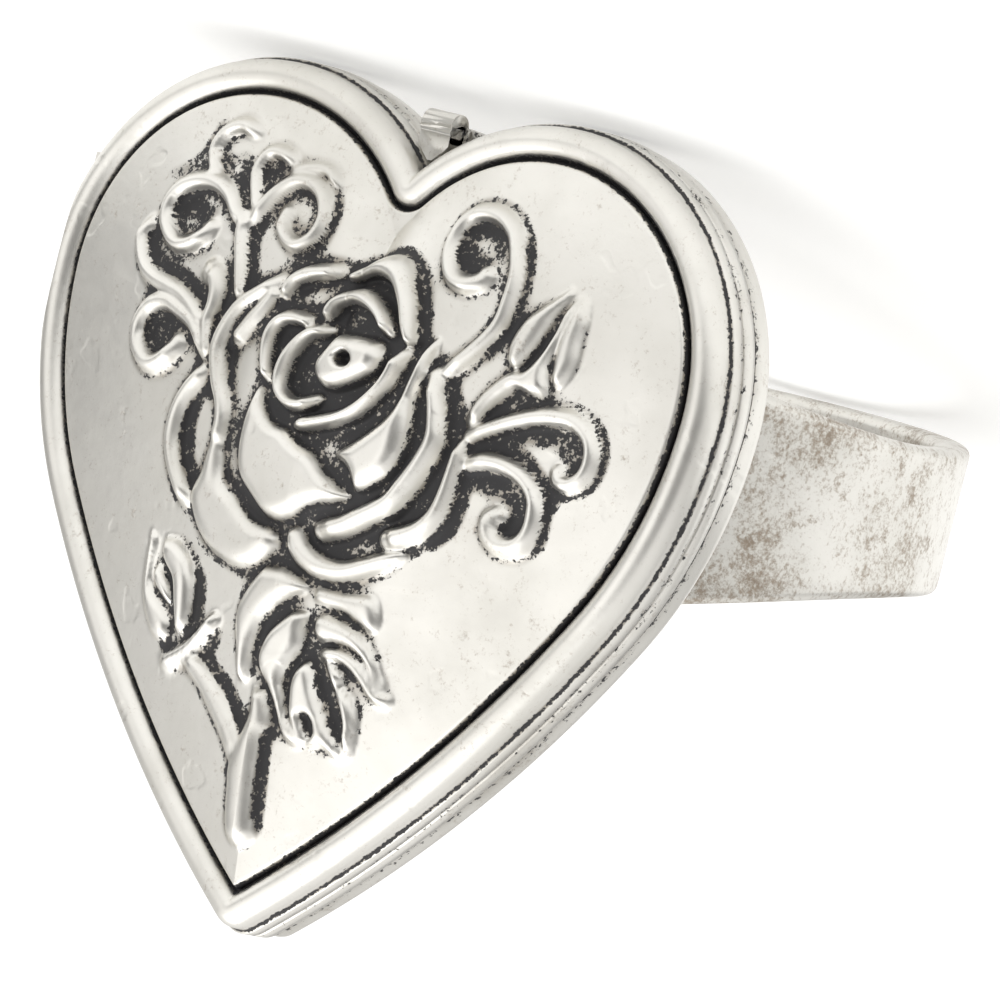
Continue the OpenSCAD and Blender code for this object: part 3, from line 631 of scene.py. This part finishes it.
vine(0.66, (0.5, 0.62, 0.5), [(-2.55, 0.5), (-2.3, 1.0), (-1.8, 1.3), (-1.1, 1.5)])
vine(0.84, (0.5, 0.62, 0.52), [(-1.15, -0.1), (-1.8, -0.05), (-2.3, -0.2), (-2.55, -0.6), (-2.55, -1.1),
                               (-2.4, -1.6), (-2.2, -1.95)])
vine(0.86, (0.5, 0.62, 0.5), [(-0.85, 0.1), (-0.7, 0.65), (-0.2, 0.95), (0.4, 0.92), (1.0, 0.65),
                              (1.45, 0.2)])
vine(0.92, (0.45, 0.66, 0.5), [(-0.6, -0.15), (-1.2, -0.4), (-1.65, -1.0), (-1.8, -1.6), (-1.7, -2.1),
                               (-1.3, -2.4), (-0.8, -2.4), (-0.4, -2.15)])
vine(0.92, (0.45, 0.64, 0.5), [(2.1, -0.3), (1.95, -1.0), (1.7, -1.5), (1.2, -2.1), (0.6, -2.5),
                               (-0.2, -2.8), (-0.9, -3.0)])
petal(1.0, 0.5, [(-0.3, -0.1), (-0.55, -0.5), (-0.8, -1.0), (-0.75, -1.45), (-0.4, -1.8), (0.1, -1.85),
                 (0.6, -1.65), (1.1, -1.35), (1.5, -1.0), (1.6, -0.5), (1.35, -0.1), (0.6, -0.02)])
petal(0.5, 0.12, [(0.02, -0.85), (0.3, -1.05), (0.62, -0.95), (0.62, -0.75), (0.3, -0.62)], pit=1)

# Scrolls and stems of the left side: height, widths, and the middle line
vine(0.42, (0.5, 0.55, 0.6), [(-4.1, 0.1), (-4.45, 1.0), (-4.8, 1.9), (-4.8, 2.4)])
vine(0.46, (0.5, 0.62, 0.5), [(-4.76, 2.1), (-5.3, 2.5), (-5.66, 2.86), (-6.14, 3.1), (-6.68, 3.16),
                              (-7.22, 3.04), (-7.7, 2.74), (-7.94, 2.26), (-7.88, 1.78), (-7.52, 1.36),
                              (-7.1, 1.18), (-6.62, 1.3), (-6.26, 1.6), (-6.14, 1.84)])
vine(0.36, (0.4, 0.45, 0.45), [(-6.5, 3.3), (-6.86, 3.94), (-6.86, 4.36), (-6.62, 4.72), (-6.14, 4.96),
                               (-5.66, 4.84)])
vine(0.36, (0.45, 0.45, 0.4), [(-4.5, 2.6), (-4.88, 3.34), (-5.03, 3.76), (-4.94, 4.18), (-4.7, 4.42),
                               (-4.28, 4.42), (-3.98, 4.3)])
vine(0.42, (0.5, 0.5, 0.45), [(-4.6, 2.3), (-4.28, 2.98), (-3.92, 3.46), (-3.5, 3.76), (-3.02, 3.8),
                              (-2.54, 3.58), (-2.24, 3.16), (-2.15, 2.74), (-2.3, 2.26), (-2.72, 1.96),
                              (-3.14, 2.08), (-3.44, 2.38), (-3.5, 2.8)])
vine(0.26, (0.3, 0.4, 0.3), [(-3.74, 4.0), (-3.2, 4.2), (-2.6, 4.24), (-2.18, 3.94)])
vine(0.42, (0.55, 0.52, 0.8), [(-4.76, -1.76), (-4.94, -1.28), (-5.12, -0.74), (-5.06, -0.26),
                               (-5.12, 0.22), (-5.3, 0.5), (-5.55, 0.6)])
vine(0.42, (0.45, 0.62, 0.45), [(-5.1, -1.0), (-5.78, -0.5), (-6.38, -0.2), (-6.98, -0.08), (-7.58, 0.04),
                                (-8.12, 0.28), (-8.48, 0.7), (-8.66, 1.18), (-8.5, 1.54)])
vine(0.46, (0.5, 0.68, 0.6), [(-4.9, -1.7), (-5.6, -0.95), (-6.38, -0.62), (-6.92, -0.5), (-7.46, -0.68),
                              (-7.76, -1.1), (-7.82, -1.58), (-7.58, -2.06), (-7.1, -2.35), (-6.62, -2.2),
                              (-6.26, -1.82), (-6.14, -1.58)])

# Scrolls, stems and the bud of the right side
vine(0.46, (0.5, 0.55, 0.6), [(3.65, -0.63), (4.2, -0.02), (4.7, 0.6), (5.03, 1.2), (5.1, 1.9), (5.07, 2.6),
                              (4.87, 3.2), (4.57, 3.74), (4.1, 4.08), (3.57, 4.2), (3.03, 4.08),
                              (2.7, 3.74), (2.57, 3.2), (2.65, 2.66), (2.96, 2.2), (3.42, 2.05),
                              (3.88, 2.2), (4.03, 2.43)])
petal(0.44, 0.4, [(5.6, 0.2), (5.55, 0.8), (5.8, 1.5), (6.2, 1.95), (6.6, 2.3), (7.0, 2.65), (6.8, 2.0),
                  (6.6, 1.3), (6.35, 0.6), (6.0, 0.05)])
petal(0.42, 0.3, [(7.35, 2.6), (7.0, 2.0), (6.85, 1.3), (6.65, 0.7), (6.35, 0.2), (6.1, -0.1), (6.6, -0.5),
                  (7.1, -0.35), (7.0, 0.4), (7.08, 1.1), (7.2, 1.8)])
petal(0.30, 0.3, [(7.15, 0.1), (7.1, 1.0), (7.25, 1.9), (7.5, 2.45), (7.72, 2.0), (7.75, 1.2), (7.78, 0.6),
                  (7.6, 0.0), (7.35, -0.15)])
vine(0.42, (0.5, 0.55, 0.5), [(6.9, -0.35), (6.1, -0.22), (5.64, -0.6), (5.26, -1.1), (5.03, -1.63)])
vine(0.46, (0.45, 0.58, 0.5), [(5.0, -2.1), (5.8, -1.65), (6.4, -1.35), (7.02, -1.1), (7.63, -0.96),
                               (8.25, -0.98), (8.75, -1.3), (8.95, -1.8), (8.88, -2.35), (8.55, -2.7),
                               (8.15, -2.7), (8.0, -2.48)])
vine(0.46, (0.5, 0.56, 0.72), [(5.2, -2.85), (5.8, -2.65), (6.4, -2.65), (7.02, -2.85), (7.48, -3.3),
                               (7.6, -3.93), (7.5, -4.45), (7.17, -4.8), (6.64, -4.85), (6.3, -4.6),
                               (6.25, -4.25), (6.48, -4.1)])

# The left bud, its stem and the main stem
petal(0.44, 0.4, [(-5.0, -7.1), (-4.9, -7.7), (-4.4, -8.2), (-4.2, -8.8), (-4.0, -9.4), (-3.9, -9.7),
                  (-3.5, -9.5), (-3.4, -9.0), (-3.45, -8.5), (-3.55, -8.0), (-3.8, -7.5), (-4.1, -7.25),
                  (-4.5, -7.05)])
petal(0.34, 0.3, [(-5.05, -7.8), (-5.15, -8.3), (-4.9, -8.6), (-4.5, -8.85), (-4.28, -8.9), (-4.38, -8.5),
                  (-4.65, -8.15)])
petal(0.30, 0.4, [(-5.6, -7.0), (-5.6, -8.0), (-5.5, -8.9), (-5.2, -9.5), (-4.8, -9.95), (-4.3, -9.95),
                  (-4.2, -9.5), (-4.5, -9.1), (-4.95, -8.8), (-5.25, -8.5), (-5.35, -8.0), (-5.3, -7.2)])
vine(0.40, (0.3, 0.5, 0.45), [(-2.45, -8.95), (-2.85, -9.55), (-3.3, -10.05), (-4.2, -10.6)])
vine(0.38, (0.6, 0.85, 0.9), [(-3.2, -10.3), (-2.4, -10.75), (-1.7, -11.35), (-1.1, -11.95), (-0.6, -12.6)])
petal(0.42, 0.5, [(-0.5, -10.6), (-0.45, -11.3), (-0.7, -12.05), (-0.95, -12.9), (-0.88, -13.6),
                  (-0.8, -14.3), (-0.6, -14.9), (-0.1, -15.1), (0.35, -14.7), (0.3, -14.0), (0.25, -13.2),
                  (0.2, -12.0), (0.38, -11.5), (0.3, -11.0), (0.05, -10.55)])

# The leaves, with the veins left between their lobes
petal(0.44, 0.45, [(-0.85, -7.1), (-1.1, -7.4), (-1.4, -7.9), (-1.6, -8.4), (-1.6, -8.9), (-1.4, -9.6),
                   (-1.2, -10.3), (-1.0, -10.5), (-0.8, -10.2), (-0.72, -9.5), (-0.6, -8.9), (-0.4, -8.5),
                   (-0.1, -8.15), (0.25, -7.85), (0.75, -7.4), (0.0, -7.05)])
petal(0.44, 0.4, [(0.95, -8.1), (0.5, -8.15), (0.1, -8.5), (-0.2, -8.85), (-0.4, -9.3), (-0.45, -9.7),
                  (-0.3, -10.05), (0.0, -10.35), (0.3, -10.75), (0.5, -11.1), (0.7, -11.5), (0.9, -11.75),
                  (1.3, -11.9), (1.6, -11.7), (1.2, -11.35), (0.88, -11.1), (0.72, -10.6), (0.62, -10.1),
                  (0.75, -9.7), (0.9, -9.35), (1.0, -9.0), (0.95, -8.5)])
petal(0.44, 0.35, [(1.25, -9.4), (0.95, -9.7), (0.82, -10.1), (0.85, -10.6), (0.95, -11.1), (1.3, -11.6),
                   (1.7, -11.8), (2.2, -11.75), (2.6, -11.9), (2.9, -11.9), (2.5, -11.25), (2.1, -10.7),
                   (1.75, -10.1), (1.5, -9.55)])
petal(0.05, 0.12, [(1.3, -10.95), (1.5, -10.85), (1.8, -11.0), (1.95, -11.4), (1.75, -11.65),
                   (1.5, -11.4)], pit=0.4)
petal(0.42, 0.3, [(1.75, -9.2), (2.1, -9.75), (2.45, -10.3), (2.72, -10.9), (2.78, -11.4), (3.0, -11.9),
                  (3.1, -11.3), (3.1, -10.7), (2.9, -10.2), (2.5, -9.9), (2.5, -9.6), (2.15, -9.3)])
petal(0.28, 0.4, [(1.15, -7.3), (2.0, -7.3), (3.0, -7.2), (3.35, -7.7), (3.2, -8.2), (2.2, -7.85),
                  (1.2, -7.75)])
petal(0.46, 0.4, [(1.25, -8.2), (1.3, -8.6), (1.6, -8.82), (2.1, -8.78), (2.6, -8.82), (3.0, -9.0),
                  (3.3, -9.3), (3.6, -9.65), (3.85, -9.7), (3.6, -9.3), (3.3, -8.8), (3.0, -8.45),
                  (2.6, -8.2), (2.0, -8.05), (1.5, -8.0)])
vine(0.42, (0.35, 0.42, 0.3), [(1.75, -9.12), (2.3, -9.05), (2.8, -9.2), (3.2, -9.5), (3.6, -9.88),
                               (3.95, -10.0)])

# Where the oxide was left on thickly, and painted shade along the right side of some strokes, such as the main
# stem and the right-hand scrolls: strength, widths at start, middle and end, power, and middle line
soot_and_shade = np.zeros_like(relief)
for strength, widths, power, line in (
    (0.9, (0.5, 0.85, 0.4), 0.6, [(-7.5, 2.15), (-6.9, 2.3), (-6.3, 2.2), (-6.0, 2.3)]),
    (0.9, (0.6, 1.0, 0.5), 0.6, [(-7.3, -1.1), (-7.0, -1.45), (-6.5, -1.2), (-6.3, -1.0)]),
    (0.9, (0.6, 0.9, 0.5), 0.6, [(3.1, 3.5), (3.2, 3.0), (3.8, 2.8), (4.3, 2.6)]),
    (0.6, (0.5, 0.9, 0.6), 0.6, [(3.4, 3.5), (4.0, 3.4), (4.4, 3.0)]),
    (0.8, (0.4, 0.7, 0.3), 0.6, [(-4.7, 4.0), (-4.4, 3.9), (-4.1, 4.0)]),
    (0.8, (0.5, 0.6, 0.3), 0.6, [(6.5, -3.3), (7.0, -3.6), (7.1, -4.0), (6.8, -4.2)]),
    (0.8, (0.5, 0.7, 0.4), 0.6, [(-4.7, -3.2), (-4.75, -3.9), (-4.6, -4.6), (-4.3, -5.1)]),
    (0.7, (0.4, 0.5, 0.3), 0.8, [(-8.2, 1.3), (-7.7, 0.7), (-7.0, 0.45), (-6.2, 0.3), (-5.6, -0.1)]),
    (0.8, (0.4, 0.5, 0.4), 0.8, [(-3.1, -7.8), (-2.95, -8.5), (-3.1, -9.2), (-3.3, -9.5)]),
    (0.8, (0.4, 0.5, 0.4), 0.8, [(-4.1, -9.7), (-4.2, -10.1), (-3.8, -10.15)]),
    (0.6, (0.4, 0.6, 0.4), 0.8, [(-6.4, 3.8), (-5.9, 3.9), (-5.5, 4.0), (-5.1, 3.0)]),
    (0.8, (0.4, 0.9, 0.5), 0.6, [(6.2, -1.75), (7.2, -1.6), (8.0, -1.7), (8.55, -2.0)]),
    (0.8, (0.3, 0.6, 0.4), 0.6, [(5.6, -2.15), (6.4, -2.1), (7.2, -2.35), (7.8, -2.9)]),
    (0.8, (0.6, 0.9, 0.6), 0.6, [(5.6, -3.3), (6.1, -3.3), (6.7, -3.3)]),
    (0.75, (0.4, 0.6, 0.5), 0.6, [(5.5, -3.2), (5.4, -4.0), (5.2, -4.8), (4.8, -5.3)]),
    (0.5, (0.3, 0.6, 0.4), 1, [(-1.75, 3.5), (-1.75, 2.8), (-1.85, 2.1), (-2.3, 1.7)]),
    (0.6, (0.6, 0.8, 0.5), 1, [(-4.15, 2.4), (-4.1, 1.6), (-3.9, 0.9), (-3.6, 0.5)]),
    (0.6, (0.3, 0.6, 0.5), 1, [(5.3, 3.7), (5.5, 2.8), (5.45, 2.0), (5.3, 1.0), (5.1, 0.3)]),
    (0.6, (0.5, 0.6, 0.5), 1, [(4.1, -0.7), (4.5, -1.3), (4.7, -2.0), (5.3, -2.4)]),
    (0.7, (0.4, 0.5, 0.5), 1, [(9.2, -1.1), (9.4, -1.8), (9.2, -2.5), (8.3, -3.2), (8.0, -4.0),
                               (8.1, -4.6)]),
    (0.7, (0.4, 0.5, 0.4), 1, [(2.2, 1.8), (2.4, 1.1), (2.75, 0.4), (3.2, 0.0)]),
    (0.9, (0.3, 0.45, 0.4), 1, [(0.5, -11.6), (0.5, -12.6), (0.55, -13.5), (0.55, -14.5)]),
    (0.9, (0.4, 0.3, 0.3), 1, [(1.35, -9.1), (1.75, -9.55), (2.2, -10.25), (2.6, -10.9), (2.65, -11.3)]),
    (0.8, (0.5, 0.5, 0.4), 1, [(-2.0, -9.4), (-2.2, -10.1), (-1.5, -10.6), (-0.9, -11.1), (-0.7, -11.7)]),
    (0.6, (0.5, 0.5, 0.3), 1, [(-8.4, 3.0), (-7.6, 3.5), (-7.1, 4.1), (-6.9, 4.9)]),
):
    vine(strength, widths, line, power, soot_and_shade)


def softened(grid, reach):
    """The grid blurred, with a bell curve of this width in millimetres."""
    far = int(3 * reach / CELL) + 1
    bell = np.exp(-0.5 * (np.arange(-far, far + 1) * CELL / reach) ** 2)
    bell /= bell.sum()
    for axis in (0, 1):
        grid = np.apply_along_axis(np.convolve, axis, grid, bell, "same")
    return grid


relief = softened(relief, CELL)
hollow = softened(relief, 0.28) - relief
around_relief = softened(relief, 0.6)
soot_and_shade = softened(soot_and_shade, CELL)


def at(grid, x, y):
    """The grid's value at points, between its cells."""
    u = np.clip((x - x_line[0]) / CELL, 0, len(x_line) - 1.001)
    v = np.clip((y - y_line[0]) / CELL, 0, len(y_line) - 1.001)
    i, j = u.astype(int), v.astype(int)
    u, v = u - i, v - j
    return ((grid[j, i] * (1 - u) + grid[j, i + 1] * u) * (1 - v)
            + (grid[j + 1, i] * (1 - u) + grid[j + 1, i + 1] * u) * v)


RINGS = 186
outer = HEART_R - groove_w
top = [(outer * (i / RINGS), dome_foot) for i in range(RINGS)] + [
    (outer, dome_foot), (outer + 0.04, dome_foot - 0.03), (outer + 0.09, dome_foot - 0.14),
    (outer + 0.11, groove_floor + 0.01)]
bottom = [(outer * share, dome_foot - face_t) for share in (0.99, 0.8, 0.5, 0)]
face = turned_bowl(top + bottom, dome_rise)
co = np.array([v.co for v in face.verts])
x, y = co[:, 0], co[:, 1]
sheet_top = dome_foot + dome_rise * swell(x, y)
struck = co[:, 2] > sheet_top - 0.01
height = at(relief, x, y)
for v, lift in zip(face.verts, np.where(struck, height, 0)):
    v.co.z += lift
# Oxide stays in the hollows and close to the relief, where it was left on, and down the groove's side. It is
# polished off what stands high. The thick patches also hold painted shade along the right side of some strokes.
sunk = at(hollow, x, y)
left_on_and_shade = (sunk - 0.05) / 0.13 + 1.1 * at(around_relief, x, y) + at(soot_and_shade, x, y) * (sunk > -0.02)
polished = 1.5 * height * (sunk < 0)
tarnish = np.clip(np.where(struck, left_on_and_shade - polished, (sheet_top - co[:, 2]) / 0.13), 0, 1)
hand_over(face, "lid_face", silver_lid, "locket_lid", "lid", tarnish)

# The lid's knuckle: the middle roll of the hinge, of the lid's own sheet, between the tray's two on the
# same pin.
knuckle("lid_knuckle", lid_knuckle, 0, seam, web_reach, "locket_lid", "lid")

# The hinge's pin: a piece of drawn steel wire pushed through the three knuckles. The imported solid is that
# wire, so it stays and gets the wire's finish.
STEEL, DULL_STEEL = (0.46, 0.46, 0.45, 1), (0.3, 0.29, 0.28, 1)
wire = bpy.data.materials.new("drawn_steel_wire")
wire.use_nodes = True
drawn = Tint(wire.node_tree).noise(3000, 3, 0.6)
steel = wire.node_tree.nodes["Principled BSDF"]
steel.inputs["Metallic"].default_value = 1
wire.node_tree.links.new(drawn.mixed(STEEL, DULL_STEEL).socket, steel.inputs["Base Color"])
wire.node_tree.links.new((0.3 + drawn * 0.2).socket, steel.inputs["Roughness"])
pin = frame["nodes"]["hinge_pin"]
pin.data.materials.clear()
pin.data.materials.append(wire)

# The studio: a sheet of white acrylic lit from below, so that the ring throws hardly a shadow, in a pale
# room. A dim soft box hangs above, and the camera stands where the photograph was taken from.
target = Vector((-0.00376, -0.006577, 0.010265))
camera_turn, camera_rise, camera_roll, camera_away = -38.177, 11.85, -156.046, 0.37309
camera = bpy.data.objects.new("camera", bpy.data.cameras.new("camera"))
bpy.context.scene.collection.objects.link(camera)
camera.data.lens = 471.0
camera.data.sensor_width = 36
camera.data.clip_start = 0.01
camera.matrix_world = (
    Matrix.Translation(target) @ Matrix.Rotation(radians(camera_turn), 4, "Z")
    @ Matrix.Rotation(radians(90 - camera_rise), 4, "X") @ Matrix.Rotation(radians(camera_roll), 4, "Z")
    @ Matrix.Translation((0, 0, camera_away)))
bpy.context.scene.camera = camera

half_floor = 1.5
ground = bmesh.new()
bmesh.ops.create_grid(ground, x_segments=1, y_segments=1, size=half_floor)
floor_mesh = bpy.data.meshes.new("floor")
ground.to_mesh(floor_mesh)
ground.free()
floor = bpy.data.objects.new("floor", floor_mesh)
bpy.context.scene.collection.objects.link(floor)
acrylic = bpy.data.materials.new("white_acrylic")
acrylic.use_nodes = True
acrylic_shader = acrylic.node_tree.nodes["Principled BSDF"]
acrylic_shader.inputs["Base Color"].default_value = (0.62, 0.62, 0.615, 1)
acrylic_shader.inputs["Emission Color"].default_value = (1, 1, 0.99, 1)
acrylic_shader.inputs["Emission Strength"].default_value = 0.46
acrylic_shader.inputs["Roughness"].default_value = 0.9
floor_mesh.materials.append(acrylic)

lamp = bpy.data.lights.new("top_box", "AREA")
lamp.shape, lamp.size, lamp.energy = "DISK", 0.45, 0.55
top_box = bpy.data.objects.new("top_box", lamp)
bpy.context.scene.collection.objects.link(top_box)
up, lamp_away = Vector((0.1, -0.1, 1.0)).normalized(), 0.35
top_box.matrix_world = (Matrix.Translation(target + up * lamp_away)
                        @ up.to_track_quat("Z", "Y").to_matrix().to_4x4())

room = bpy.data.worlds.new("studio")
room.use_nodes = True
air = Tint(room.node_tree)
around = air.node("ShaderNodeTexCoord", out=0)


def facing(direction, low, high):
    """0 to 1 as a ray comes to point in this direction."""
    dot = air.node("ShaderNodeVectorMath", {"operation": "DOT_PRODUCT"},
                   {0: around, 1: Vector(direction).normalized()}, out=1)
    return dot.between(low, high)


ceiling, bright_wall = facing((0, 0, 1), -0.1, 0.6), facing((0.25, -0.85, 0.42), 0.7, 1.0)
dark_left, dark_right = facing((-0.6, -0.77, 0.2), 0.7, 0.98), facing((0.97, -0.15, -0.05), 0.75, 1.0)
brightness = (0.48 + ceiling * 0.5 + bright_wall * 0.42) * (1 - dark_left * 0.75) * (1 - dark_right * 0.5)
background = room.node_tree.nodes["Background"]
background.inputs["Color"].default_value = (1, 0.99, 0.97, 1)
room.node_tree.links.new(brightness.socket, background.inputs["Strength"])
bpy.context.scene.world = room
bpy.context.scene.view_settings.view_transform = "Standard"
